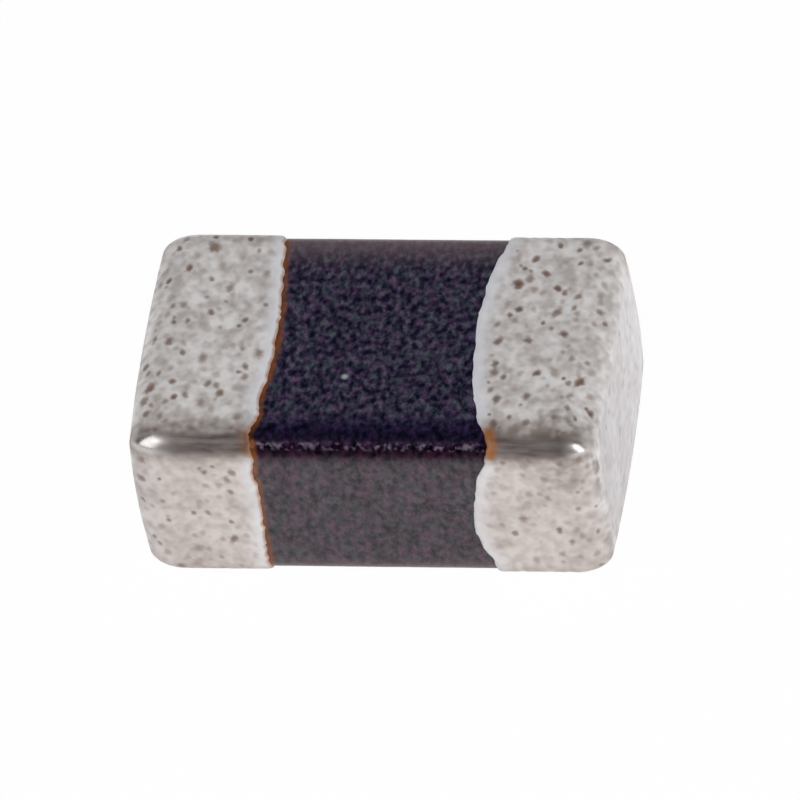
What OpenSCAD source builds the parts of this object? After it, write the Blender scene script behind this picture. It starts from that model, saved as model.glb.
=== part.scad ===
// Multilayer chip ferrite bead: a sintered ferrite block with a printed silver coil inside it,
// and a silver, nickel and tin termination over each end. Millimetres, +Z up, the solder faces
// on z = 0 and the origin under the middle of the chip.

/* [Ferrite body] */
// Length of the ferrite body between its two end faces
body_l = 1.934; // [1.8:0.002:2.1]
// Width of the ferrite body
body_w = 1.22; // [1.1:0.002:1.35]
// Height of the ferrite body
body_h = 0.81; // [0.7:0.002:0.95]
// Radius that tumbling leaves on the edges and corners of the body
body_edge_r = 0.075; // [0.04:0.005:0.09]

/* [Terminations] */
// Thickness of the fired silver on the four sides of the body
silver_side_t = 0.006; // [0.004:0.001:0.012]
// Thickness of the fired silver in the middle of an end face
silver_end_t = 0.05; // [0.04:0.001:0.07]
// Radius of the end face's bow, seen from above
end_bow_r = 9; // [8:0.5:20]
// Thickness of the nickel barrier plated on the silver
nickel_t = 0.003; // [0.002:0.001:0.005]
// Thickness of the tin finish plated on the nickel
tin_t = 0.006; // [0.004:0.001:0.01]

/* [Left band] */
// Length of the left silver band on top, from the body's end to the middle of its bowed edge
left_band_l = 0.538; // [0.45:0.002:0.6]
// Radius of the left band edge's bow, seen from above
left_bow_plan_r = 3.4; // [2:0.1:4]
// Radius of the left band edge's bow, seen from the front
left_bow_side_r = 3.4; // [1:0.1:4]

/* [Right band] */
// Length of the right silver band on top, from the body's end to the middle of its bowed edge
right_band_l = 0.528; // [0.45:0.002:0.6]
// Radius of the right band edge's bow, seen from above
right_bow_plan_r = 1.8; // [1.4:0.1:4]
// Radius of the right band edge's bow, seen from the front
right_bow_side_r = 0.8; // [0.7:0.05:4]

/* [Coil] */
// Number of printed coil layers, each of them three quarters of a turn
coil_layers = 6; // [2, 3, 6, 7]
// Distance from one printed layer to the next
layer_pitch = 0.062; // [0.04:0.002:0.07]
// Thickness of a printed line
line_t = 0.016; // [0.01:0.001:0.02]
// Width of a printed line
line_w = 0.16; // [0.1:0.01:0.2]
// Ferrite left between the coil and the ends of the body
coil_end_margin = 0.21; // [0.2:0.01:0.35]
// Ferrite left between the coil and the sides of the body
coil_side_margin = 0.18; // [0.15:0.01:0.22]
// Diameter of the round pad at each end of a printed line
pad_d = 0.2; // [0.2:0.01:0.24]
// Diameter of the silver filled via between two layers
via_d = 0.11; // [0.06:0.01:0.14]
// Width of the lead-out that joins the coil to a termination
lead_w = 0.26; // [0.2:0.01:0.28]

/* [Hidden] */

// Fineness of the small arcs, and the number of facets round the wide bows
$fa = 3;
$fs = 0.01;
bow_fn = 360;

// How far each coat's outside stands off the outside of the fired silver
silver_off = 0;
nickel_off = silver_off + nickel_t;
tin_off = nickel_off + tin_t;

// Outside of the fired silver
cap_l = body_l + 2*silver_end_t;
cap_w = body_w + 2*silver_side_t;
cap_h = body_h + 2*silver_side_t;
cap_edge_r = body_edge_r + silver_side_t;

// The rounded upright edges of an end lie in its bow, and stand off it by a hair so that the two cross
upright_stand_off = 0.0005;
length_step = 0.0001;
upright_y = body_w/2 - body_edge_r;
upright_bow_x = cap_l/2 - end_bow_r + sqrt(pow(end_bow_r - cap_edge_r, 2) - pow(upright_y, 2));
upright_x = length_step*round((upright_bow_x + upright_stand_off)/length_step);

// The finished chip stands on its tin
mid_z = cap_h/2 + tin_off;

// Centre lines of the coil's sides, and the height of the whole stack
coil_x = body_l/2 - coil_end_margin - line_w/2;
coil_y = body_w/2 - coil_side_margin - line_w/2;
stack_h = (coil_layers - 1)*layer_pitch + line_t;

// Sides of a full turn, and how many of them each layer prints
turn_sides = 4;
layer_sides = 3;

// The corners of the coil, counted anticlockwise from the front left
function coil_corner(i) = [
    [-coil_x, -coil_y],
    [coil_x, -coil_y],
    [coil_x, coil_y],
    [-coil_x, coil_y]
][i % turn_sides];
// The corner where a printed layer starts: the one where the layer below it ends
function first_corner(layer) = layer_sides*(layer - 1);
function layer_z(layer) = mid_z - stack_h/2 + (layer - 1)*layer_pitch;

// Colours of the materials
ferrite_colour = [0.22, 0.20, 0.25];
silver_colour = [0.80, 0.78, 0.74];
nickel_colour = [0.62, 0.60, 0.55];
tin_colour = [0.72, 0.70, 0.68];

module rounded_rectangle(size, r) {
    square([size.x - 2*r, size.y], center = true);
    square([size.x, size.y - 2*r], center = true);
    for (a = [-1, 1], b = [-1, 1]) translate([a*(size.x/2 - r), b*(size.y/2 - r)]) circle(r);
}

// An upright edge of a rounded block, with a round corner at each end of it
module round_post(h, r) {
    cylinder(r = r, h = h - 2*r, center = true);
    for (s = [-1, 1]) translate([0, 0, s*(h/2 - r)]) sphere(r = r);
}

// A block whose twelve edges and eight corners are rounded to one radius, centred on the origin
module rounded_block(size, r) {
    rotate([90, 0, 90]) linear_extrude(size.x - 2*r, center = true) rounded_rectangle([size.y, size.z], r);
    rotate([90, 0, 0]) linear_extrude(size.y - 2*r, center = true) rounded_rectangle([size.x, size.z], r);
    for (a = [-1, 1], b = [-1, 1])
        translate([a*(size.x/2 - r), b*(size.y/2 - r), 0]) round_post(size.z, r);
}

// A flat disc with a full round along the top and the bottom of its rim
module round_rim_disc(disc_r, h, r) {
    rotate_extrude($fn = bow_fn) {
        translate([0, -h/2]) square([disc_r - r, h]);
        translate([0, r - h/2]) square([disc_r, h - 2*r]);
        for (s = [-1, 1]) translate([disc_r - r, s*(h/2 - r)]) circle(r);
    }
}

// The ferrite block before the coil takes its room
module body_block() {
    rounded_block([body_l, body_w, body_h], body_edge_r);
}

// A drum on the Z axis: it bulges to plan_r, and its wall has the radius side_r
module drum(plan_r, side_r) {
    shift = plan_r - side_r;
    rotate_extrude($fn = bow_fn) {
        if (shift > 0) translate([0, -side_r]) square([shift, 2*side_r]);
        intersection() {
            translate([shift, 0]) circle(side_r);
            translate([0, -side_r]) square([plan_r, 2*side_r]);
        }
    }
}

// The rounded end of the chip as a coat leaves it: bowed in plan, with every edge and corner round
module bowed_end(off) {
    h = cap_h + 2*off;
    intersection() {
        union() {
            rounded_block([2*(upright_x + cap_edge_r + off), cap_w + 2*off, h], cap_edge_r + off);
            translate([0, -upright_y, -h/2]) cube([cap_l, 2*upright_y, h]);
        }
        translate([cap_l/2 - end_bow_r, 0, 0]) round_rim_disc(end_bow_r + off, h, cap_edge_r + off);
    }
}

// Everything inside the outer surface of one coat on the +X end, at the given offset from the silver
module cap_form(off, band_l, bow_plan_r, bow_side_r) {
    bow_depth = bow_side_r - sqrt(pow(bow_side_r, 2) - pow(cap_h/2, 2));
    band_x = body_l/2 - band_l - bow_depth;
    intersection() {
        bowed_end(off);
        translate([band_x + bow_plan_r, 0, 0]) drum(bow_plan_r + off, bow_side_r + off);
    }
}

module place_left() {
    translate([0, 0, mid_z]) mirror([1, 0, 0]) children();
}

module place_right() {
    translate([0, 0, mid_z]) children();
}

module left_form(off) {
    cap_form(off, left_band_l, left_bow_plan_r, left_bow_side_r);
}

module right_form(off) {
    cap_form(off, right_band_l, right_bow_plan_r, right_bow_side_r);
}

// A straight printed line with round ends
module printed_line(from, to) {
    run = to - from;
    translate(from) rotate(atan2(run.y, run.x)) translate([0, -line_w/2]) square([norm(run), line_w]);
    for (p = [from, to]) translate(p) circle(line_w/2);
}

// The wide strip from a corner of the coil to the end face on its side
module lead_out(corner) {
    end_x = sign(corner.x)*body_l/2;
    translate([min(corner.x, end_x), corner.y - lead_w/2]) square([abs(end_x - corner.x), lead_w]);
}

// One printed layer, with the via that was filled in the same pass: it stands on the layer below
module coil_print(layer) {
    start = first_corner(layer);
    end = start + layer_sides;
    translate([0, 0, layer_z(layer)]) linear_extrude(line_t) {
        for (i = [start : end - 1]) printed_line(coil_corner(i), coil_corner(i + 1));
        for (i = [start, end]) translate(coil_corner(i)) circle(pad_d/2);
        if (layer == 1) lead_out(coil_corner(start));
        if (layer == coil_layers) lead_out(coil_corner(end));
    }
    if (layer > 1) translate(coil_corner(start))
        translate([0, 0, layer_z(layer - 1) + line_t]) cylinder(d = via_d, h = layer_pitch - line_t/2);
}

module ferrite_body() {
    color(ferrite_colour) difference() {
        translate([0, 0, mid_z]) body_block();
        for (layer = [1 : coil_layers]) coil_print(layer);
    }
}

module coil_layer(layer) {
    color(silver_colour) coil_print(layer);
}

module left_silver_base() {
    color(silver_colour) place_left() difference() {
        left_form(silver_off);
        body_block();
    }
}

module left_nickel_barrier() {
    color(nickel_colour) place_left() difference() {
        left_form(nickel_off);
        left_form(silver_off);
        body_block();
    }
}

module left_tin_finish() {
    color(tin_colour) place_left() difference() {
        left_form(tin_off);
        left_form(nickel_off);
        body_block();
    }
}

module right_silver_base() {
    color(silver_colour) place_right() difference() {
        right_form(silver_off);
        body_block();
    }
}

module right_nickel_barrier() {
    color(nickel_colour) place_right() difference() {
        right_form(nickel_off);
        right_form(silver_off);
        body_block();
    }
}

module right_tin_finish() {
    color(tin_colour) place_right() difference() {
        right_form(tin_off);
        right_form(nickel_off);
        body_block();
    }
}

ferrite_body();
for (layer = [1 : coil_layers])
    coil_layer(layer);
left_silver_base();
left_nickel_barrier();
left_tin_finish();
right_silver_base();
right_nickel_barrier();
right_tin_finish();
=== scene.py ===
import math
from itertools import product

import bmesh
import bpy
import numpy as np
from mathutils import Matrix, Vector


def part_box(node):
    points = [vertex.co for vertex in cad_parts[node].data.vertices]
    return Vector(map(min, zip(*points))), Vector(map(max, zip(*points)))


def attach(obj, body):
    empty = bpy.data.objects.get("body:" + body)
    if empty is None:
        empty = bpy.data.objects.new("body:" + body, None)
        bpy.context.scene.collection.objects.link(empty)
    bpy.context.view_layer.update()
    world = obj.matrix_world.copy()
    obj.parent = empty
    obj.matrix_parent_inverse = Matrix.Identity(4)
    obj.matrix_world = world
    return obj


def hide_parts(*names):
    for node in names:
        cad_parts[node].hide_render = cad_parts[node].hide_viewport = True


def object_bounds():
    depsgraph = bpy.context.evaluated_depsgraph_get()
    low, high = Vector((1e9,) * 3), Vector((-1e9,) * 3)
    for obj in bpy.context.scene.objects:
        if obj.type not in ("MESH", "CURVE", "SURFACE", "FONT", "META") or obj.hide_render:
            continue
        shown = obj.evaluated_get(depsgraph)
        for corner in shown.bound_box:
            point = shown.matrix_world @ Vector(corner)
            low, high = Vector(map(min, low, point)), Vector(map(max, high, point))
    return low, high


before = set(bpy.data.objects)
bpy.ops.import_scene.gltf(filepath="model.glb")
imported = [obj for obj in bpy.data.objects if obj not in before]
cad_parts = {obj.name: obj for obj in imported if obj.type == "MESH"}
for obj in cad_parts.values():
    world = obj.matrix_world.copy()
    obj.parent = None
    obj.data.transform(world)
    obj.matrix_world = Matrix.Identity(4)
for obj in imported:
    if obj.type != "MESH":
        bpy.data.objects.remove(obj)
cad_low, cad_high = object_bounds()

MM = 1e-3
UM = 1e-6
X, Y, Z = 0, 1, 2
LEFT, RIGHT = -1, 1


def srgb(red, green, blue):
    """A colour given as it looks in 8-bit sRGB, as linear RGBA."""
    parts = [value / 255 for value in (red, green, blue)]
    return [part / 12.92 if part <= 0.04045 else ((part + 0.055) / 1.055) ** 2.4 for part in parts] + [1.0]


# Every form below is measured from the middle of the chip
chip_centre = np.array([0, 0, (cad_low.z + cad_high.z) / 2])

# Roundings of the chip's outside: lengthwise at the ends, and across its four long edges
end_round = 0.18 * MM
edge_round = 0.09 * MM
# How far an end face falls back from its middle to its four sides
end_crown = 0.0195 * MM
# Where the crown sets in, as a share of the half length
crown_start = 0.62

# Grid cells of a fine surface across width and height, and its columns along a band, along the bare body
# and round a lip
fine_cells = (198, 132)
band_columns = 88
body_columns = 140
lip_columns = 7
# A hidden surface has one cell for this many fine ones, and this many columns
coarse_ratio = 6
coarse_cells = tuple(count // coarse_ratio for count in fine_cells)
coarse_columns = 12
# Corners of a CAD mesh that lie within this distance are one corner
weld_distance = 0.01 * UM

# The rolled lip where a termination ends on the ferrite
lip_width = 26 * UM
# How far the edge of each coat lies inside that of the coat over it
coat_step = 4 * UM

# The two bands. Reach is how far a band's edge lies from the middle of the chip, and the bows are how far
# it draws back towards the sides and towards top and bottom. Teeth is the height of its waves, and seed
# picks them. Stain and lip_stain are the strengths of the brown corner and the brown line. Shine is where
# the worn edge starts to gleam and gleams in full, in roundings of the end. Drift is how many microns the
# edge strays from its bow at distances in millimetres from the upper front edge: negative ones lead back
# over the top, positive ones down the front.
BANDS = {
    LEFT: {
        "reach": 0.410 * MM,
        "bow_y": 0.047 * MM,
        "bow_z": 0.010 * MM,
        "teeth": 13 * UM,
        "seed": 11,
        "stain": 0.3,
        "lip_stain": 0.8,
        "shine": (1.4, 0.6),
        "drift": {
            -1.22: 8, -1.15: 11, -0.8: -5, -0.6: -8, -0.35: 17, -0.18: 12,
            0.1: -7, 0.36: 4, 0.5: 14, 0.8: 8,
        },
    },
    RIGHT: {
        "reach": 0.356 * MM,
        "bow_y": 0.086 * MM,
        "bow_z": 0.070 * MM,
        "teeth": 7 * UM,
        "seed": 23,
        "stain": 0.9,
        "lip_stain": 0.0,
        "shine": (0.95, 0.5),
        "drift": {
            -1.22: 3, -1.15: 6, -1.05: -5, -0.78: -12, -0.6: 2, -0.35: 4, -0.18: 12, -0.03: 45,
            0.12: 52, 0.2: 30, 0.4: 13, 0.54: -4, 0.7: 12, 0.82: 3,
        },
    },
}
# Waves in a band's edge: their lengths and their shares of the teeth
tooth_waves = {110 * UM: 1.0, 42 * UM: 0.55, 19 * UM: 0.3}
# A band's length as a share of half the chip's, for its area
band_length_share = 0.6

# Relief of the plated tin
tin_swell = 0.9 * UM
tin_swell_wave = 105 * UM
tin_ripple = 0.4 * UM
tin_ripple_wave = 48 * UM
# How far in from the band edge that relief is full, and how much of it is gone along the rubbed edge and
# on an end's flat
relief_rim = 2 * lip_width
polish_smoothing = 0.8
end_smoothing = 0.7
# Lowest that the relief may go, so that the tin always covers the nickel
relief_floor = -3.6 * UM

# The pits in the tin, with their raised rings
pits_per_mm2 = 700
pit_radius = 14.5 * UM
pit_radius_spread = 0.25
pit_radius_most = 24 * UM
pit_depth = 3.2 * UM
pit_ring = 0.4 * UM
# Nearest that two pits come, as a share of their two radii together
pit_spacing = 1.25
# Nearest that a pit comes to the band edge
pit_free_rim = 48 * UM
# A pit's strength is the least plus the rest times a random number to this power, so few are strong
pit_least = 0.14
pit_rarity = 2.4
# How many pits and how strong ones the end face and the upright sides have, as shares of those on top
end_face_pit_share = 0.34
front_face_pit_share = 0.75
# A pit is up to this many times as long as wide, and this is how far the directions of the pits differ
pit_stretch = 1.6
pit_scatter = 0.5
# How ragged a pit's outline is, and in what wave
pit_ragged = 0.32
pit_ragged_wave = 13 * UM
# Distances from a pit's middle, in its radii: where its floor ends and its wall is up, where its ring
# starts, is highest and ends, and past which it has no effect
pit_wall = (0.3, 1.45)
ring_places = (0.9, 1.6, 2.6)
pit_reach = 3.4
# The ring is gone where the tin lies this share of a pit's depth down
ring_sunk = 0.3
# Added to a band's seed for the pits and the relief of its tin
tin_seed_step = 60

# Relief of the sintered ferrite
grain_height = 0.3 * UM
grain_wave = 17 * UM
ferrite_swell = 0.6 * UM
ferrite_swell_wave = 110 * UM
ferrite_seed = 41

# Part of a normal along X or Y from which a point lies on an end or on an upright side, and the part along
# X from which it may lie on the flat of an end
face_turn = 0.6
end_flat_turn = 0.5
# Bend of a long edge at which its polish and its painted shade start and are full, where 0 is a face and 1
# the edge's middle
polish_bend = (0.03, 0.85)
# Strips beside a long edge that are darker, on the tin with wear and painted shade and on the ferrite with
# painted
# shade: where they start and are full, in from the side and in from the top or bottom
near_edge_y = (0.22 * MM, 0.07 * MM)
near_edge_z = (0.15 * MM, 0.05 * MM)
# Wear and painted shade of the other three long edges, as a share of those of the upper front one
other_edge_wear_and_shade = 0.12
# The flat of an end face: the radius of its corners, and where it starts and is full, in from the sides
end_face_corner = 0.3 * MM
end_face_border = (0.05 * MM, 0.10 * MM)

# A patch of painted shade on the right termination, beside the upper front edge: its middle, its reach, the
# share of the reach in which it is full, and where up the half height it starts and is full
shade_patch_place = (0.86 * MM, -0.53 * MM)
shade_patch_reach = (0.16 * MM, 0.18 * MM)
shade_patch_core = 0.2
shade_patch_rise = (0.2, 0.6)
# Its weaker part down the front upright edge: its strength, the parts of a normal along X and to the front
# at which it starts and is full, the share of it that is left at mid height and below, and the share of
# the half height at which it is whole
upright_share = 0.9
upright_turn_x = (0.55, 0.8)
upright_turn_front = (0.05, 0.3)
upright_lower_share = 0.35
upright_full_height = 0.7

# How far the ferrite's back edge and its foot are painted paler as glare, how strong the foot is beside the
# back, and the parts of a normal along Z or Y at which they start and are full
pale_reach_back = 0.30 * MM
pale_reach_foot = 0.16 * MM
pale_foot_share = 0.9
pale_turn = (0.3, 0.9)
# Angles round a long edge, from upright, between which a painted glint makes the ferrite lighter: where
# that starts, is full, starts to fade and ends
glint_turn = (31, 45, 56, 66)
# A speck of white dust on the ferrite's top: its middle, radius and height, and the share of the radius in
# which it is full and at which it ends
speck_place = (-0.105 * MM, -0.219 * MM)
speck_radius = 14 * UM
speck_height = 3 * UM
speck_fade = (0.3, 1.5)

# The paler strip of tin beside the band edge: where it starts to fade and where it ends
rim_width = (12 * UM, 86 * UM)
# How far from the band edge the brown stain on its corner reaches, full and fading, and how near the long
# edge it starts and is full
stain_width = (30 * UM, 62 * UM)
stain_near = (0.6, 0.95)
# Width of the thin brown line where the left band's plating ends: on the tin, and on the ferrite beside it
tin_stain_width = (3 * UM, 15 * UM)
ferrite_stain_width = (9 * UM, 28 * UM)

# Noise in the looks: its wave, detail and roughness, a shift in millimetres that sets it apart from the
# rest, and how far it is squeezed along each axis
tin_cloud = (134 * UM, 0)
tin_grain = (52 * UM, 1, 0.5, 3.0)
end_haze = (260 * UM, 1, 0.5, 9.0)
rub_streak = (60 * UM, 2, 0.6, 12.0, (0.35, 1.6, 1.6))
ferrite_squeeze = (1, 0.74, 0.7)
ferrite_grain = (26 * UM, 2, 0.6, 0.0, ferrite_squeeze)
ferrite_tint = (44 * UM, 1, 0.5, 5.0, ferrite_squeeze)
ferrite_sparkle = (24 * UM, 1, 0.5, 7.0)
metal_grain = (14 * UM, 3, 0.6)
# Ranges of noise that are spread out from 0 to 1, the last one for cloud and grain together
soft_range = (0.3, 0.7)
hard_range = (0.35, 0.65)
mottle_range = (0.15, 0.85)
# Parts of a normal along Y between which the tin takes on the painted shade of a side
side_range = (0.5, 1)

# Colours of the tin: its mottling, dark and light, the painted highlight on its rings, the painted shade of
# its upright sides, and its end face, painted darker at the front and paler towards the back as glare
tin_dark, tin_light = srgb(192, 184, 181), srgb(240, 237, 236)
ring_highlight_colour = srgb(228, 226, 226)
side_shade_colour = srgb(207, 200, 198)
end_front_shaded_dark, end_front_shaded_light = srgb(181, 176, 178), srgb(197, 193, 196)
end_glare_colour = srgb(240, 237, 240)
# What the tin's colour is multiplied by: on the upright sides, as painted shade, at a pit's edge and once
# more at its heart
side_shade_tint = (0.84, 0.80, 0.775, 1)
pit_edge_tint = (0.63, 0.56, 0.525, 1)
pit_heart_tint = (0.45, 0.34, 0.29, 1)
# Colours of wear, plating and painted shade: beside the band edge, near a long edge and along it from dark
# to light streaks, where wear and painted shade darken it, where it gleams, in the patch of painted shade,
# in the brown corner and in the brown line
rim_colour = srgb(236, 237, 243)
scuffed_and_shaded_colour = srgb(126, 112, 104)
bare_shaded_dark, bare_shaded_light = srgb(80, 69, 68), srgb(121, 112, 109)
gleam_colour = srgb(205, 200, 198)
shade_patch_colour = srgb(50, 44, 46)
stain_colour = srgb(158, 98, 40)
tin_line_colour = srgb(172, 114, 54)

# The cloud's share of the mottling, and the shares of the other colours in the tin
cloud_share = 0.36
ring_highlight_share = 0.5
side_shade_share = 0.35
end_share = 0.64
rim_share_top, rim_share_side = 0.85, 0.5
polish_and_shade_share = 0.95
# Depths of a pit between which its edge and its heart darken
pit_edge_depths = (0.02, 0.5)
pit_heart_depths = (0.4, 1)
# Tones that count as dark and as light tin, and the wear and painted shade on them near a long edge and in
# the patch of painted shade
tone_range = (0.2, 0.8)
scuffed_and_shaded_shares = (0.95, 0.6)
shade_patch_shares = (0.9, 0.4)
# The share of the patch's painted shade on the rubbed edge, and what the light grain keeps of the brown
# corner and line
shade_patch_on_edge = 0.5
stain_on_light = 0.6
line_on_light = 0.5
# Roughness of the faces and of the rubbed edge, and how much less it is where that gleams
face_roughness, edge_roughness = 0.6, 0.5
gleam_gloss = 0.26
# How metallic the faces and the gleam look, and what the rubbed edge adds to both
face_metallic, gleam_metallic, edge_metallic = 0.12, 0.75, 0.25
# Bump of the tin's grain, its strength, and what is left of it along the rubbed edge and on the end face
tin_bump = 4 * UM
tin_bump_strength = 0.6
edge_bump_share = 0.1
end_bump_share = 0.35

# Colours of the ferrite: its light grains in two tints and its dark ones, on top and, with a painted sheen,
# on the sides
top_warm, top_cool, top_dark = srgb(95, 75, 104), srgb(80, 87, 95), srgb(0, 0, 30)
side_sheen_warm, side_sheen_cool, side_sheen_dark = srgb(85, 61, 78), srgb(73, 69, 76), srgb(6, 4, 6)
# What they are multiplied by near a long edge, as painted shade
near_top_shade_tint = (0.42, 0.32, 0.72, 1)
near_side_shade_tint = (0.55, 0.3, 0.5, 1)
# Painted glare, the painted glint line, the white speck and the brown line, the share of the glare, and
# what the cool tint keeps of the brown line
pale_glare_colour = srgb(150, 130, 131)
glint_colour = srgb(102, 90, 106)
speck_colour = srgb(160, 174, 174)
ferrite_line_colour = srgb(134, 78, 34)
pale_glare_share = 0.5
line_on_cool = 0.55
# Noise that counts as dark and as light grain, and the power that darkens the grain on top and on a side,
# lower on a side for its painted sheen
grain_range = (0.31, 0.7)
grain_power_top, grain_power_side = 1.6, 1.0
# Noise between which a fleck of the painted glint line is missing and full
sparkle_range = (0.46, 0.7)
# Near the long edges the ferrite is metallic, so it mirrors in its own dark colour, as painted shade: to
# what power that falls off, its strength on top, where a side's full strength starts, and what the painted
# glint line keeps
near_power = 2.0
near_metallic_top = 0.5
near_side_full = 0.7
glint_metallic_share = 0.3
ferrite_roughness = 0.4
ferrite_ior = 1.44
ferrite_bump = 1.2 * UM

# The hidden metals: light and dark colour and roughness, how far the roughness goes up and down, and the
# bump of their grain
METALS = {
    "plated_nickel": (srgb(176, 168, 154), srgb(150, 142, 130), 0.35),
    "fired_silver": (srgb(226, 222, 214), srgb(196, 190, 180), 0.5),
    "printed_silver": (srgb(222, 218, 208), srgb(190, 184, 172), 0.45),
}
metal_roughness_spread = 0.06
metal_bump = 0.8 * UM
metal_bump_strength = 0.5

# Photograph's view: a very long lens above the front, turned and rolled a little
azimuth, elevation, roll = math.radians(14.93), math.radians(46.99), math.radians(10.46)
image_size = 800
pixels_per_mm = 236.2
centre_pixel = (387.63, 403.0)
half_view = math.radians(1.0)
sensor_width = 36.0
# Nearest and furthest that the camera sees, as shares of its distance
clip_range = (0.1, 4)

# Each lamp's direction from the chip, its brightness, where 1 is white, the part of it that glossy faces
# mirror, its width and height as shares of its distance, and its shape
LAMPS = {
    "left_lamp": ((-0.57, -0.53, 0.63), 3.1, 1.7, 0.77, 0.98, "RECTANGLE"),
    "tail_lamp": ((-0.34, -0.50, 0.80), 4.4, 2.3, 0.3, 0.3, "ELLIPSE"),
    "right_lamp": ((0.65, -0.60, 0.47), 5.5, 2.3, 0.36, 1.06, "ELLIPSE"),
    "side_lamp": ((0.97, 0.15, 0.22), 1.15, 0.6, 1.0, 0.9, "RECTANGLE"),
    "rim_lamp": ((-0.15, 0.98, 0.10), 6.0, 0.0, 1.6, 0.2, "RECTANGLE"),
}
# How far the lamps are from the chip, and how bright the light from all round is
lamp_distance = 30 * MM
world_level = 0.05
# The floor: its level, the radius and the lift of its rings, its sides, its own colour, and the share of
# white in what the camera sees of it
floor_level = -1 * UM
floor_rings = [(90 * MM, 0.0), (110 * MM, 1.5 * MM), (125 * MM, 6 * MM), (132 * MM, 16 * MM)]
floor_sides = 64
floor_colour = (0.9, 0.9, 0.9, 1)
floor_white_share = 0.98


def rising(value, low, high):
    """A smooth step from 0 at low to 1 at high."""
    share = np.clip((value - low) / (high - low), 0, 1)
    return share * share * (3 - 2 * share)


def smooth_noise(points, wave, seed):
    """Smooth random values from -1 to 1 over space, with bumps about one wave apart."""
    rng = np.random.default_rng(seed)
    size = 256
    order = rng.permutation(size)
    values = rng.uniform(-1, 1, size)
    scaled = points / wave
    cell = np.floor(scaled).astype(int)
    part = scaled - cell
    part = part * part * (3 - 2 * part)
    total = np.zeros(len(points))
    for corner in product((0, 1), repeat=3):
        at = (cell + corner) % size
        key = order[(order[(order[at[:, X]] + at[:, Y]) % size] + at[:, Z]) % size]
        weight = np.prod(np.where(corner, part, 1 - part), axis=1)
        total += values[key] * weight
    return total


def rectangle_loop(cells):
    """Grid places round the edge of a rectangle, anticlockwise seen from +X."""
    across, up = cells
    bottom = [(i, 0) for i in range(across)]
    back = [(across, i) for i in range(up)]
    top = [(i, up) for i in range(across, 0, -1)]
    front = [(0, i) for i in range(up, 0, -1)]
    return np.array(bottom + back + top + front)


def inner_places(cells):
    """Grid places inside the rectangle, column by column."""
    return np.array([(i, j) for i in range(1, cells[0]) for j in range(1, cells[1])])


class Form:
    """A block with rounded edges round the middle of the chip, with or without crowned ends."""

    def __init__(self, half, radii, crown=0.0):
        self.half = np.array(half)
        self.radii = np.array(radii)
        self.crown = crown

    def surface(self, x, places, cells):
        """Points and normals at grid places of the form's section, at x along its length."""
        section = (places / cells * 2 - 1) * self.half[1:]
        sharp = np.column_stack([np.broadcast_to(x, len(section)), section])
        core = np.clip(sharp, self.radii - self.half, self.half - self.radii)
        away = (sharp - core) / self.radii
        away /= np.linalg.norm(away, axis=1, keepdims=True)
        points = core + away * self.radii
        normals = away / self.radii
        normals /= np.linalg.norm(normals, axis=1, keepdims=True)
        fall = (points[:, Y] / self.half[Y]) ** 2 + (points[:, Z] / self.half[Z]) ** 2
        ramp = np.clip(np.abs(points[:, X]) / self.half[X] - crown_start, 0, 1) / (1 - crown_start)
        points[:, X] -= np.sign(points[:, X]) * self.crown * fall * ramp**2
        return points, normals

    def loop(self, x, cells):
        """Points and normals round the form at x, which is one number or one for each point."""
        return self.surface(x, rectangle_loop(cells), cells)

    def face(self, side, cells):
        """Points and normals inside the rim of the end face on this side."""
        return self.surface(side * self.half[X], inner_places(cells), cells)


def half_sizes(node):
    """Distances from the middle of the chip to a CAD node's end, side and top."""
    low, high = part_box(node)
    return np.array([max(-low.x, high.x), high.y, (high.z - low.z) / 2])


# The forms of the coats and the body, each from its CAD node's size. The tin leaves room for its relief.
relief_room = tin_swell + tin_ripple + pit_ring
tin_half = half_sizes("right_tin_finish")
nickel_half = half_sizes("right_nickel_barrier")
silver_half = half_sizes("right_silver_base")
ferrite_half = half_sizes("ferrite_body")
outer_radii = np.array([end_round, edge_round, edge_round])
tin = Form(tin_half - relief_room, outer_radii - relief_room, end_crown)
nickel = Form(nickel_half, outer_radii - (tin_half - nickel_half)[Z], end_crown)
silver = Form(silver_half, outer_radii - (tin_half - silver_half)[Z], end_crown)
ferrite = Form(ferrite_half, np.full(3, edge_round - (tin_half - ferrite_half)[Z]))


def new_object(name, data):
    """A new object in the scene with this mesh, light or camera."""
    piece = bpy.data.objects.new(name, data)
    bpy.context.scene.collection.objects.link(piece)
    return piece


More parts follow.
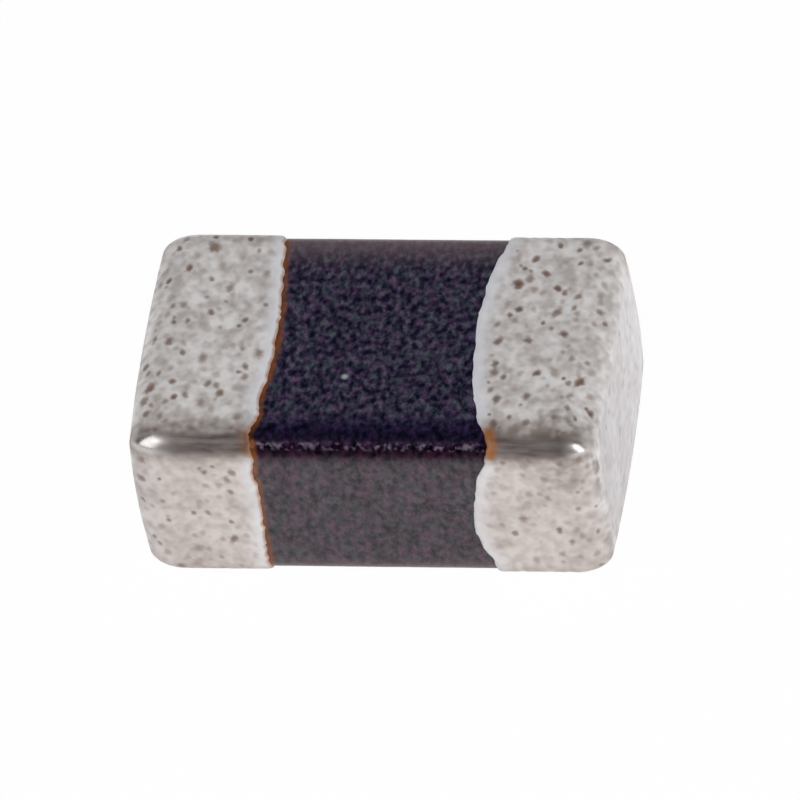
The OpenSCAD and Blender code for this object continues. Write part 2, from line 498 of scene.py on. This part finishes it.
class Skin:
    """Collects one closed mesh, from an end face over loop after loop to the other end face."""

    def __init__(self):
        self.points = []
        self.faces = []
        self.count = 0
        self.last = None

    def add(self, points):
        """Adds points and gives their places in the mesh."""
        start = self.count
        self.points.append(points)
        self.count += len(points)
        return np.arange(start, self.count)

    def begin(self, face, loop, cells):
        """Starts with an end face that looks towards +X: the points inside it and the loop round it."""
        inside = self.add(face)
        self.last = self.add(loop)
        self.fill(inside, cells, 1)

    def grow(self, points):
        """Joins the next loop to the last one, which may have more points or fewer."""
        loop = self.add(points)
        if len(loop) == len(self.last):
            self.bridge(self.last, loop)
        elif len(loop) < len(self.last):
            self.stitch(self.last, loop, True)
        else:
            self.stitch(loop, self.last, False)
        self.last = loop

    def end(self, face, cells):
        """Ends with a face inside the last loop, which looks towards -X."""
        self.fill(self.add(face), cells, -1)

    def bridge(self, upper, lower):
        """Quads between two loops; upper lies nearer to +X on an outer surface."""
        quads = np.column_stack([lower, np.roll(lower, -1), np.roll(upper, -1), upper])
        self.faces += quads.tolist()

    def stitch(self, fine, coarse, fine_is_upper):
        """Triangles between a fine loop and a coarse one, whose points face every few of the fine ones."""
        step = len(fine) // len(coarse)
        after_fine = np.roll(fine, -1)
        after_coarse = np.roll(coarse, -1)
        order = 1 if fine_is_upper else -1
        for i, (here, there) in enumerate(zip(coarse, after_coarse)):
            first = i * step
            for j in range(step):
                owner = here if j < step // 2 else there
                self.faces.append([owner, after_fine[first + j], fine[first + j]][::order])
            self.faces.append([here, there, fine[first + step // 2]][::order])

    def fill(self, inside, cells, towards):
        """The grid of an end face in the last loop, which looks towards +X or -X."""
        across, up = cells
        index = np.zeros((across + 1, up + 1), int)
        border = rectangle_loop(cells)
        index[border[:, 0], border[:, 1]] = self.last
        index[1:across, 1:up] = inside.reshape(across - 1, up - 1)
        quads = np.stack([index[:-1, :-1], index[1:, :-1], index[1:, 1:], index[:-1, 1:]], axis=-1)
        self.faces += quads.reshape(-1, 4)[:, ::towards].tolist()

    def make(self, name, side, attributes, start=0):
        """The mesh object, mirrored to the left end where side says so.

        The attributes hold values for the points from start on, and are 0 on the rest.
        """
        points = np.concatenate(self.points)
        points[:, X] *= side
        faces = [face[::side] for face in self.faces]
        mesh = bpy.data.meshes.new(name)
        mesh.from_pydata((points + chip_centre).tolist(), [], faces)
        mesh.validate()
        mesh.shade_smooth()
        for label, values in attributes.items():
            layer = mesh.attributes.new(label, "FLOAT", "POINT")
            padded = np.pad(values, (start, self.count - start - len(values)))
            layer.data.foreach_set("value", padded.astype(np.float32))
        return new_object(name, mesh)


def band_edge(around, band):
    """Distance from the middle of the chip to a band's edge, at points round the chip."""
    across = around[:, Y] / tin.half[Y]
    up = around[:, Z] / tin.half[Z]
    bow = band["bow_y"] * across**2 + band["bow_z"] * up**2
    teeth = sum(
        share * smooth_noise(around, wave, band["seed"] + i)
        for i, (wave, share) in enumerate(tooth_waves.items())
    )
    along = np.where(up > -across, -around[:, Y] - tin.half[Y], tin.half[Z] - around[:, Z])
    drift = np.interp(along / MM, list(band["drift"]), list(band["drift"].values()))
    return band["reach"] + bow + band["teeth"] * teeth + drift * UM


def coat_loops(form, cells, columns, band, setback):
    """Loops of a coat's outside, from its end face to its edge, where it comes down to the ferrite.

    Gives for each loop its points, its normals, its distance from the edge and how much of the coat's
    height it has.
    """
    middle, _ = form.loop(0.0, cells)
    edge = band_edge(middle, band) + setback
    lip = edge + lip_width
    loops = []
    for i in range(columns + 1):
        x = form.half[X] + (lip - form.half[X]) * i / columns
        points, normals = form.loop(x, cells)
        loops.append((points, normals, x - edge, np.ones(len(x))))
    for i in range(1, lip_columns + 1):
        turn = math.pi / 2 * i / lip_columns
        x = edge + lip_width * (1 - math.sin(turn))
        points, normals = form.loop(x, cells)
        loops.append((points, normals, x - edge, np.full(len(x), math.cos(turn))))
    return loops


def sunk(loop, form):
    """A loop's points, brought down to the ferrite by as much as the coat has lost of its height."""
    points, normals, _, height = loop
    drop = (form.half[Z] - ferrite.half[Z]) * (1 - height)
    return points - normals * drop[:, None]


def upper_front(points):
    """1 at the long edge that is worn and shaded most, and the share of that wear and painted shade that
    the other three have.
    """
    return np.where((points[:, Z] > 0) & (points[:, Y] < 0), 1.0, other_edge_wear_and_shade)


def polish_and_shade(points, normals):
    """1 along the long edge that is rubbed and darkened with painted shade most, and 0 on the faces."""
    return rising(2 * np.abs(normals[:, Y] * normals[:, Z]), *polish_bend) * upper_front(points)


def near_edge(points, form):
    """1 at the four long edges, fading out over a strip of the faces on both sides of each, for wear and
    painted shade.
    """
    over = rising(np.abs(points[:, Y]), *(form.half[Y] - inset for inset in near_edge_y))
    beside = rising(np.abs(points[:, Z]), *(form.half[Z] - inset for inset in near_edge_z))
    return over * beside * upper_front(points)


def corner_stain(points, distance):
    """1 where the plating is stained brown, at the band edge's corner on the long edges."""
    return (1 - rising(distance, *stain_width)) * rising(near_edge(points, tin), *stain_near)


def line_stain(distance, width):
    """1 where the plating ends, fading out on both sides of it."""
    return 1 - rising(np.abs(distance), *width)


def end_face(points, normals):
    """1 on the bare flat of an end face, a rectangle with round corners, and 0 past its border."""
    over = np.maximum(np.abs(points[:, 1:]) - (tin.half[1:] - end_face_corner), 0)
    inside = end_face_corner - np.hypot(over[:, 0], over[:, 1])
    return rising(inside, *end_face_border) * (np.abs(normals[:, X]) > end_flat_turn)


def pale(points, normals):
    """1 at the back edge of the ferrite's top and a little less at its foot, falling off away from them."""
    back = 1 - rising(ferrite.half[Y] - points[:, Y], 0, pale_reach_back)
    foot = 1 - rising(ferrite.half[Z] + points[:, Z], 0, pale_reach_foot)
    top = rising(normals[:, Z], *pale_turn)
    upright = rising(np.abs(normals[:, Y]), *pale_turn)
    return np.maximum(back**2 * top, pale_foot_share * foot**2 * upright)


def shade_patch(points, normals):
    """1 in the middle of the patch of painted shade, and less down the upright edge beside it."""
    half_height = tin.half[Z]
    away = np.hypot(
        (points[:, X] - shade_patch_place[X]) / shade_patch_reach[X],
        (points[:, Y] - shade_patch_place[Y]) / shade_patch_reach[Y],
    )
    patch = 1 - rising(away, shade_patch_core, 1)
    patch = patch * rising(points[:, Z], *(part * half_height for part in shade_patch_rise))
    upright = rising(normals[:, X], *upright_turn_x) * (1 - end_face(points, normals)) * (points[:, Y] < 0)
    height = rising(points[:, Z], 0, upright_full_height * half_height)
    upright = upright * (upright_lower_share + (1 - upright_lower_share) * height)
    upright = upright * rising(-normals[:, Y], *upright_turn_front)
    return np.maximum(patch, upright_share * upright)


def glint_line(normals):
    """1 along the line of each long edge where a painted glint makes the ferrite lighter."""
    turn = np.degrees(np.arctan2(np.abs(normals[:, Y]), np.abs(normals[:, Z])))
    return rising(turn, *glint_turn[:2]) * (1 - rising(turn, *glint_turn[2:]))


def dust(points):
    """1 at the middle of the speck of dust on top, falling to 0 at its rim."""
    away = np.hypot(points[:, X] - speck_place[X], points[:, Y] - speck_place[Y])
    return (1 - rising(away, *(share * speck_radius for share in speck_fade))) * (points[:, Z] > 0)


def coat_area():
    """About the area of a termination's outside: its band round the chip and its end face."""
    band_area = band_length_share * tin.half[X] * 4 * (tin.half[Y] + tin.half[Z])
    return band_area + 4 * tin.half[Y] * tin.half[Z]


def pit_field(points, normals, distance, seed):
    """Depth of the pits at each point from 0 to 1, and how strong their raised rings are."""
    rng = np.random.default_rng(seed)
    on_end = np.abs(normals[:, X]) > face_turn
    on_front = np.abs(normals[:, Y]) > face_turn
    crowding = np.where(on_end, end_face_pit_share, np.where(on_front, front_face_pit_share, 1.0))
    weight = crowding * (1 - polish_and_shade(points, normals)) ** 2 * (distance > pit_free_rim)
    count = int(pits_per_mm2 * coat_area() * weight.mean() / MM**2)
    tries = rng.choice(len(points), count, p=weight / weight.sum())
    sizes = np.minimum(pit_radius * np.exp(rng.normal(0, pit_radius_spread, count)), pit_radius_most)
    ragged = 1 + pit_ragged * smooth_noise(points, pit_ragged_wave, seed + 1)
    ring_start, ring_top, ring_end = ring_places
    smooth = np.ones(len(points))
    ring = np.zeros(len(points))
    kept = []
    for i, (centre, radius) in enumerate(zip(tries, sizes)):
        apart = np.linalg.norm(points[tries[kept]] - points[centre], axis=1)
        if np.any(apart < pit_spacing * (sizes[kept] + radius)):
            continue
        kept.append(i)
        along = np.cross(normals[centre], (1, *rng.normal(0, pit_scatter, 2)))
        along /= np.linalg.norm(along)
        stretch = rng.uniform(1.0, pit_stretch)
        strength = (pit_least + (1 - pit_least) * rng.random() ** pit_rarity) * crowding[centre]
        near = np.flatnonzero(np.abs(points - points[centre]).max(axis=1) < pit_reach * radius)
        offset = points[near] - points[centre]
        reach = offset @ along
        distance_squared = (offset**2).sum(axis=1) - reach**2 * (1 - 1 / stretch**2)
        away = np.sqrt(np.maximum(distance_squared, 0)) * ragged[near] / radius
        smooth[near] *= 1 - strength * (1 - rising(away, *pit_wall))
        wall = rising(away, ring_start, ring_top) * (1 - rising(away, ring_top, ring_end))
        ring[near] = np.maximum(ring[near], wall * strength)
    pit = 1 - smooth
    return pit, ring * (1 - rising(pit, 0, ring_sunk))


def tin_coat(name, side):
    """The plated tin on one end: pitted outside, rolled lip, and a plain inside on the nickel."""
    band = BANDS[side]
    seed = band["seed"] + tin_seed_step
    face, face_normals = tin.face(1, fine_cells)
    parts = [(face, face_normals, np.full(len(face), tin.half[X]), np.ones(len(face)))]
    parts += coat_loops(tin, fine_cells, band_columns, band, 0.0)
    points, normals, distance, height = (np.concatenate(values) for values in zip(*parts))
    pit, ring = pit_field(points, normals, distance, seed)
    rubbed_and_shaded = polish_and_shade(points, normals)
    end = end_face(points, normals)
    swell = tin_swell * smooth_noise(points, tin_swell_wave, seed + 2)
    ripple = tin_ripple * smooth_noise(points, tin_ripple_wave, seed + 3)
    rough = (swell + ripple) * rising(distance, 0, relief_rim)
    rough = rough * (1 - polish_smoothing * rubbed_and_shaded) * (1 - end_smoothing * end)
    relief = np.maximum(rough + pit_ring * ring - pit_depth * pit, relief_floor)
    drop = (tin.half[Z] - ferrite.half[Z]) * (1 - height)
    points = points + normals * (relief * height - drop)[:, None]

    skin = Skin()
    face, first, *rest = np.split(points, np.cumsum([len(part[0]) for part in parts])[:-1])
    skin.begin(face, first, fine_cells)
    for loop in rest:
        skin.grow(loop)
    add_inside(skin, nickel, band, coat_step)
    attributes = {
        "pit": pit,
        "ring": ring,
        "rim": 1 - rising(distance, *rim_width),
        "polish_and_shade": rubbed_and_shaded,
        "near": near_edge(points, tin),
        "end": end,
        "shade_patch": shade_patch(points * (side, 1, 1), normals * (side, 1, 1)),
        "lip_stain": line_stain(distance, tin_stain_width) * band["lip_stain"],
        # How far back a point lies, for the glare painted on an end face
        "back": (points[:, Y] / tin.half[Y] + 1) / 2,
        "side": np.abs(normals[:, Y]),
        "stain": corner_stain(points, distance) * band["stain"],
        "corner": rising(points[:, X], *(tin.half[X] - share * end_round for share in band["shine"])),
    }
    return skin.make(name, side, attributes)


def add_inside(skin, form, band, setback):
    """The hidden inner side of a coat, as a coarse grid on the outside of the coat under it."""
    for loop in reversed(coat_loops(form, coarse_cells, coarse_columns, band, setback)):
        skin.grow(sunk(loop, form))
    face, _ = form.face(1, coarse_cells)
    skin.end(face, coarse_cells)


def plain_coat(name, side, form, under, setback):
    """A coat that the tin hides: the same shell, on coarse grids inside and out."""
    band = BANDS[side]
    face, _ = form.face(1, coarse_cells)
    first, *rest = coat_loops(form, coarse_cells, coarse_columns, band, setback)
    skin = Skin()
    skin.begin(face, sunk(first, form), coarse_cells)
    for loop in rest:
        skin.grow(sunk(loop, form))
    add_inside(skin, under, band, setback + coat_step)
    return skin.make(name, side, {})


def bare_block():
    """The ferrite body: fine and grainy where it shows, coarse under the terminations."""
    strays = max(max(band["drift"].values()) for band in BANDS.values()) * UM
    reach = max(band["reach"] + band["bow_y"] + band["bow_z"] for band in BANDS.values())
    shown = reach + strays + lip_width
    first_hidden, *hidden = np.linspace(ferrite.half[X], shown + lip_width, coarse_columns)
    face, _ = ferrite.face(RIGHT, coarse_cells)
    first, _ = ferrite.loop(first_hidden, coarse_cells)
    skin = Skin()
    skin.begin(face, first, coarse_cells)
    for x in hidden:
        skin.grow(ferrite.loop(x, coarse_cells)[0])
    start = skin.count
    shown_normals = []
    for x in np.linspace(shown, -shown, body_columns + 1):
        points, normals = ferrite.loop(x, fine_cells)
        shown_normals.append(normals)
        grain = grain_height * smooth_noise(points, grain_wave, ferrite_seed)
        swell = ferrite_swell * smooth_noise(points, ferrite_swell_wave, ferrite_seed + 1)
        relief = grain + swell + speck_height * dust(points)
        skin.grow(points + normals * relief[:, None])
    stop = skin.count
    for x in [*reversed(hidden), first_hidden]:
        skin.grow(ferrite.loop(-x, coarse_cells)[0])
    skin.end(ferrite.face(LEFT, coarse_cells)[0], coarse_cells)

    points = np.concatenate(skin.points)[start:stop]
    normals = np.concatenate(shown_normals)
    lines = np.zeros(len(points))
    for side, band in BANDS.items():
        beyond = band_edge(points * (0, 1, 1), band) - points[:, X] * side
        lines += line_stain(beyond, ferrite_stain_width) * band["lip_stain"]
    attributes = {
        "near": near_edge(points, ferrite),
        "glint": glint_line(normals),
        "dust": dust(points),
        "side": np.abs(normals[:, Y]),
        "pale": pale(points, normals),
        "lip_stain": lines,
    }
    return skin.make("ferrite_block", RIGHT, attributes, start)


def room_tool(node):
    """A copy of a CAD node's mesh, closed along its edges, that cuts the node's room out of a piece."""
    mesh = node.data.copy()
    mesh.materials.clear()
    work = bmesh.new()
    work.from_mesh(mesh)
    bmesh.ops.remove_doubles(work, verts=work.verts, dist=weld_distance)
    work.to_mesh(mesh)
    work.free()
    return new_object(f"room_of_{node.name}", mesh)


def cut_rooms(piece, nodes):
    """Cuts out of a piece the room that each of the nodes takes up in it."""
    tools = [room_tool(node) for node in nodes]
    for tool in tools:
        cut = piece.modifiers.new(tool.name, "BOOLEAN")
        cut.operation = "DIFFERENCE"
        cut.solver = "MANIFOLD"
        cut.object = tool
    graph = bpy.context.evaluated_depsgraph_get()
    made = piece.evaluated_get(graph)
    mesh = bpy.data.meshes.new_from_object(made, preserve_all_data_layers=True, depsgraph=graph)
    # The CAD meshes' own normals come along with the cut, and the piece is shaded without them
    if "custom_normal" in mesh.attributes:
        mesh.attributes.remove(mesh.attributes["custom_normal"])
    piece.modifiers.clear()
    piece.data = mesh
    for tool in tools:
        bpy.data.objects.remove(tool)


class Shader:
    """A material's nodes, with short ways to add the ones used here. Inputs are sockets or plain values."""

    # Places of a Mix node's sockets for colours
    mix_factor, mix_first, mix_second, mix_result = 0, 6, 7, 2

    def __init__(self, name):
        self.material = bpy.data.materials.new(name)
        self.material.use_nodes = True
        self.tree = self.material.node_tree
        self.tree.nodes.clear()
        self.where = self.add("ShaderNodeTexCoord").outputs["Object"]

    def add(self, kind, **settings):
        """A new node of this kind."""
        node = self.tree.nodes.new(kind)
        for key, value in settings.items():
            setattr(node, key, value)
        return node

    def link(self, source, target):
        """Links a socket to another one, or sets the other one to a plain value."""
        if isinstance(source, bpy.types.NodeSocket):
            self.tree.links.new(source, target)
        else:
            target.default_value = source

    def feed(self, node, **sources):
        """Links or sets inputs of a node by their names, which have _ here for a space."""
        for key, source in sources.items():
            self.link(source, node.inputs[key.replace("_", " ")])

    def noise(self, wave, detail, roughness=0.5, offset=0.0, squeeze=(1, 1, 1)):
        """Noise about 0.5 over the piece, with bumps about one wave apart."""
        shift = self.add("ShaderNodeVectorMath", operation="MULTIPLY_ADD")
        self.link(self.where, shift.inputs[0])
        shift.inputs[1].default_value = squeeze
        shift.inputs[2].default_value = (offset * MM, 0, 0)
        node = self.add("ShaderNodeTexNoise")
        self.feed(node, Vector=shift.outputs[0], Scale=1 / wave, Detail=detail, Roughness=roughness)
        return node.outputs["Fac"]

    def attribute(self, name):
        """A value that the mesh holds at its points."""
        return self.add("ShaderNodeAttribute", attribute_name=name).outputs["Fac"]

    def span(self, value, low, high, to_low=0, to_high=1):
        """The value spread from one range to another, and held within it."""
        node = self.add("ShaderNodeMapRange")
        self.feed(node, Value=value, From_Min=low, From_Max=high, To_Min=to_low, To_Max=to_high)
        return node.outputs["Result"]

    def between(self, factor, start, end):
        """A number that goes from start at factor 0 to end at factor 1."""
        return self.span(factor, 0, 1, start, end)

    def math(self, operation, a, b):
        """A number worked out from two others."""
        node = self.add("ShaderNodeMath", operation=operation)
        self.link(a, node.inputs[0])
        self.link(b, node.inputs[1])
        return node.outputs[0]

    def times(self, a, b):
        """The product of two numbers."""
        return self.math("MULTIPLY", a, b)

    def mix(self, factor, a, b, blend="MIX"):
        """Two colours mixed: the first at factor 0 and the second at factor 1, or multiplied by it."""
        node = self.add("ShaderNodeMix", data_type="RGBA", blend_type=blend)
        self.link(factor, node.inputs[self.mix_factor])
        self.link(a, node.inputs[self.mix_first])
        self.link(b, node.inputs[self.mix_second])
        return node.outputs[self.mix_result]

    def bump(self, height, distance, strength=1.0):
        """A normal with which the surface looks raised by this distance where height is 1."""
        node = self.add("ShaderNodeBump")
        self.feed(node, Strength=strength, Distance=distance, Height=height)
        return node.outputs["Normal"]

    def surface(self, **values):
        """The material, with a Principled shader that takes these values."""
        shader = self.add("ShaderNodeBsdfPrincipled")
        self.feed(shader, **values)
        return self.end_in(shader)

    def end_in(self, shader):
        """The material, which ends in this shader."""
        output = self.add("ShaderNodeOutputMaterial")
        self.feed(output, Surface=shader.outputs[0])
        return self.material


def tin_material():
    """Matt tin: mottled and pitted, paler beside its edge, and worn shiny along the long edges, with
    painted highlights on the pits' rings, painted shade on its sides, along its long edges and in a patch,
    and painted glare on its end faces.
    """
    look = Shader("matte_tin")
    cloud = look.span(look.noise(*tin_cloud), *soft_range)
    grain = look.span(look.noise(*tin_grain), *soft_range)
    haze = look.span(look.noise(*end_haze), *hard_range)
    streak = look.span(look.noise(*rub_streak), *hard_range)
    tone = look.math("ADD", look.times(cloud, cloud_share), look.times(grain, 1 - cloud_share))
    labels = ("polish_and_shade", "near", "end", "pit", "corner", "shade_patch")
    polished_and_shaded, near, end, pit, corner, patch_shade = (look.attribute(label) for label in labels)
    side = look.span(look.attribute("side"), *side_range)

    colour = look.mix(look.span(tone, *mottle_range), tin_dark, tin_light)
    # Lighter rings round the pits: a painted highlight beside each dimple, over the real raised ring
    colour = look.mix(look.times(look.attribute("ring"), ring_highlight_share), colour, ring_highlight_colour)
    # The upright sides get a darker, warmer tone: painted shade
    colour = look.mix(look.times(side, side_shade_share), colour, side_shade_colour)
    colour = look.mix(side, colour, side_shade_tint, "MULTIPLY")
    # An end face is painted darker at the front and paler towards the back, as glare
    end_front_shaded = look.mix(haze, end_front_shaded_dark, end_front_shaded_light)
    end_colour = look.mix(look.attribute("back"), end_front_shaded, end_glare_colour)
    colour = look.mix(look.times(end, end_share), colour, end_colour)
    rim_share = look.between(side, rim_share_top, rim_share_side)
    colour = look.mix(look.times(look.attribute("rim"), rim_share), colour, rim_colour)
    colour = look.mix(look.span(pit, *pit_edge_depths), colour, pit_edge_tint, "MULTIPLY")
    colour = look.mix(look.span(pit, *pit_heart_depths), colour, pit_heart_tint, "MULTIPLY")

    # Wear and painted shade darken the tin near the upper front long edge
    scuffed_and_shaded = look.times(near, look.span(tone, *tone_range, *scuffed_and_shaded_shares))
    patch = look.times(patch_shade, look.span(grain, *tone_range, *shade_patch_shares))
    scuffed_and_shaded = look.times(look.math("MAXIMUM", scuffed_and_shaded, patch), look.between(end, 1, 0))
    colour = look.mix(scuffed_and_shaded, colour, scuffed_and_shaded_colour)
    # The rubbed edge: worn streaks darkened with painted shade, and its own colour where it gleams at the
    # corner
    rubbed_and_shaded = look.mix(corner, look.mix(streak, bare_shaded_dark, bare_shaded_light), gleam_colour)
    # The patch of painted shade also darkens the rubbed edge
    rubbed_and_shaded = look.mix(look.times(patch_shade, look.between(corner, shade_patch_on_edge, 0)), rubbed_and_shaded, shade_patch_colour)
    colour = look.mix(look.times(polished_and_shaded, polish_and_shade_share), colour, rubbed_and_shaded)
    stained = look.times(look.attribute("stain"), look.between(grain, 1, stain_on_light))
    colour = look.mix(stained, colour, stain_colour)
    line = look.times(look.attribute("lip_stain"), look.between(grain, 1, line_on_light))
    colour = look.mix(line, colour, tin_line_colour)

    gleam = look.times(polished_and_shaded, corner)
    roughness = look.between(polished_and_shaded, face_roughness, edge_roughness)
    roughness = look.math("SUBTRACT", roughness, look.times(gleam, gleam_gloss))
    metallic = look.between(gleam, face_metallic, gleam_metallic)
    metallic = look.math("ADD", metallic, look.times(polished_and_shaded, edge_metallic))
    relief = look.times(tone, look.between(polished_and_shaded, 1, edge_bump_share))
    relief = look.times(relief, look.between(end, 1, end_bump_share))
    normal = look.bump(relief, tin_bump, tin_bump_strength)
    return look.surface(Base_Color=colour, Metallic=metallic, Roughness=roughness, Normal=normal)


def ferrite_material():
    """Sintered ferrite: fine violet and grey grains on black, with a painted sheen on its sides, painted
    glare at its back edge and foot, a painted glint line, and painted shade near the long edges, where it
    is shinier.
    """
    look = Shader("sintered_ferrite")
    grain = look.noise(*ferrite_grain)
    tint = look.span(look.noise(*ferrite_tint), *hard_range)
    sparkle = look.span(look.noise(*ferrite_sparkle), *sparkle_range)
    near, side = look.attribute("near"), look.attribute("side")

    # The sides get lighter grains and warmer tints than the top: a painted sheen of the floor's reflection
    power = look.between(side, grain_power_top, grain_power_side)
    speckle = look.math("POWER", look.span(grain, *grain_range), power)
    light = look.mix(side, look.mix(tint, top_warm, top_cool), look.mix(tint, side_sheen_warm, side_sheen_cool))
    colour = look.mix(speckle, look.mix(side, top_dark, side_sheen_dark), light)
    # Painted glare pales the back edge of the top and the foot of the sides
    colour = look.mix(look.times(look.attribute("pale"), pale_glare_share), colour, pale_glare_colour)
    # Painted shade darkens the ferrite near the long edges
    colour = look.mix(near, colour, look.mix(side, near_top_shade_tint, near_side_shade_tint), "MULTIPLY")
    # A flecked painted glint along each long edge
    glint = look.times(look.attribute("glint"), sparkle)
    colour = look.mix(glint, colour, glint_colour)
    colour = look.mix(look.attribute("dust"), colour, speck_colour)
    line = look.times(look.attribute("lip_stain"), look.between(tint, 1, line_on_cool))
    colour = look.mix(line, colour, ferrite_line_colour)

    # Metallic near the long edges, so that the dark colour there darkens its reflections too, as painted
    # shade
    metallic = look.span(side, 0, near_side_full, near_metallic_top, 1)
    metallic = look.times(look.math("POWER", near, near_power), metallic)
    metallic = look.times(metallic, look.between(glint, 1, glint_metallic_share))
    normal = look.bump(grain, ferrite_bump)
    return look.surface(
        Base_Color=colour, Metallic=metallic, Roughness=ferrite_roughness, IOR=ferrite_ior, Normal=normal
    )


def metal_material(name, light, dark, roughness):
    """A fired or plated metal that the tin or the ferrite hides."""
    look = Shader(name)
    grain = look.noise(*metal_grain)
    colour = look.mix(look.span(grain, *soft_range), dark, light)
    low, high = roughness - metal_roughness_spread, roughness + metal_roughness_spread
    rough = look.span(grain, *soft_range, low, high)
    normal = look.bump(grain, metal_bump, metal_bump_strength)
    return look.surface(Base_Color=colour, Metallic=1.0, Roughness=rough, Normal=normal)


def dress(piece, material, node=None):
    """Gives a piece its material, and sets a new piece in the frame in the place of a CAD node."""
    piece.data.materials.clear()
    piece.data.materials.append(material)
    if node:
        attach(piece, "root")
        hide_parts(node)


def make_camera():
    """The photograph's camera, far off behind a long lens, so its view is all but parallel."""
    towards = np.array([
        math.sin(azimuth) * math.cos(elevation),
        -math.cos(azimuth) * math.cos(elevation),
        math.sin(elevation),
    ])
    level = np.array([math.cos(azimuth), math.sin(azimuth), 0])
    rise = np.cross(towards, level)
    right = math.cos(roll) * level - math.sin(roll) * rise
    up = math.sin(roll) * level + math.cos(roll) * rise
    pixel = MM / pixels_per_mm
    aim = chip_centre + (image_size / 2 - centre_pixel[0]) * pixel * right
    aim = aim + (centre_pixel[1] - image_size / 2) * pixel * up
    far = image_size / 2 * pixel / math.tan(half_view)
    camera = bpy.data.cameras.new("camera")
    camera.sensor_width = sensor_width
    camera.lens = sensor_width / 2 / math.tan(half_view)
    camera.clip_start, camera.clip_end = (far * share for share in clip_range)
    holder = new_object("camera", camera)
    axes = Matrix(np.column_stack([right, up, towards]).tolist()).to_4x4()
    holder.matrix_world = Matrix.Translation(aim + far * towards) @ axes
    bpy.context.scene.camera = holder


def make_lamp(name, direction, glow, gleam, width, height, shape):
    """A flat soft lamp that looks at the chip, as two lights: glossy faces mirror only the first."""
    at = Vector(direction).normalized()
    for part, brightness in (("gleam", gleam), ("soft", glow - gleam)):
        light = bpy.data.lights.new(f"{name}_{part}", "AREA")
        light.shape = shape
        light.size = width * lamp_distance
        light.size_y = height * lamp_distance
        light.energy = math.pi * light.size * light.size_y * brightness
        lamp = new_object(light.name, light)
        lamp.location = Vector(chip_centre) + at * lamp_distance
        lamp.rotation_mode = "QUATERNION"
        lamp.rotation_quaternion = at.to_track_quat("Z", "Y")
        lamp.visible_glossy = part == "gleam"


def floor_material():
    """Pale where it lights the chip, and all but white where the camera or a glossy face sees it."""
    look = Shader("white_floor")
    path = look.add("ShaderNodeLightPath").outputs
    seen = look.math("MAXIMUM", path["Is Camera Ray"], path["Is Glossy Ray"])
    seen = look.math("MAXIMUM", seen, path["Is Transmission Ray"])
    plain = look.add("ShaderNodeBsdfDiffuse")
    look.feed(plain, Color=floor_colour)
    white = look.add("ShaderNodeEmission")
    both = look.add("ShaderNodeMixShader")
    look.link(look.times(seen, floor_white_share), both.inputs[0])
    look.link(plain.outputs[0], both.inputs[1])
    look.link(white.outputs[0], both.inputs[2])
    return look.end_in(both)


def make_floor():
    """A round white floor with the chip's shadow on it, which turns up at its rim."""
    points = [(0, 0, floor_level)]
    for radius, lift in floor_rings:
        for i in range(floor_sides):
            turn = 2 * math.pi * i / floor_sides
            points.append((radius * math.cos(turn), radius * math.sin(turn), floor_level + lift))
    faces = [(0, 1 + i, 1 + (i + 1) % floor_sides) for i in range(floor_sides)]
    for ring in range(len(floor_rings) - 1):
        start = 1 + ring * floor_sides
        outer = start + floor_sides
        for i in range(floor_sides):
            after = (i + 1) % floor_sides
            faces.append((start + i, outer + i, outer + after, start + after))
    mesh = bpy.data.meshes.new("floor")
    mesh.from_pydata(points, [], faces)
    mesh.shade_smooth()
    floor = new_object("floor", mesh)
    mesh.materials.append(floor_material())


def make_world():
    """Faint white light from all round."""
    world = bpy.data.worlds.new("studio")
    world.use_nodes = True
    background = world.node_tree.nodes["Background"]
    background.inputs["Color"].default_value = (1, 1, 1, 1)
    background.inputs["Strength"].default_value = world_level
    bpy.context.scene.world = world


make_camera()
make_floor()
for name, settings in LAMPS.items():
    make_lamp(name, *settings)
make_world()
bpy.context.scene.view_settings.view_transform = "Standard"

tin_look = tin_material()
nickel_look, silver_look, coil_look = (metal_material(name, *metal) for name, metal in METALS.items())

coil_layers = [piece for name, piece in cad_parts.items() if name.startswith("coil_layer")]
block = bare_block()
cut_rooms(block, coil_layers)
dress(block, ferrite_material(), "ferrite_body")
for side, word in ((LEFT, "left"), (RIGHT, "right")):
    dress(tin_coat(f"{word}_tin", side), tin_look, f"{word}_tin_finish")
    nickel_piece = plain_coat(f"{word}_nickel", side, nickel, silver, coat_step)
    dress(nickel_piece, nickel_look, f"{word}_nickel_barrier")
    silver_piece = plain_coat(f"{word}_silver", side, silver, ferrite, 2 * coat_step)
    dress(silver_piece, silver_look, f"{word}_silver_base")
for layer in coil_layers:
    dress(layer, coil_look)
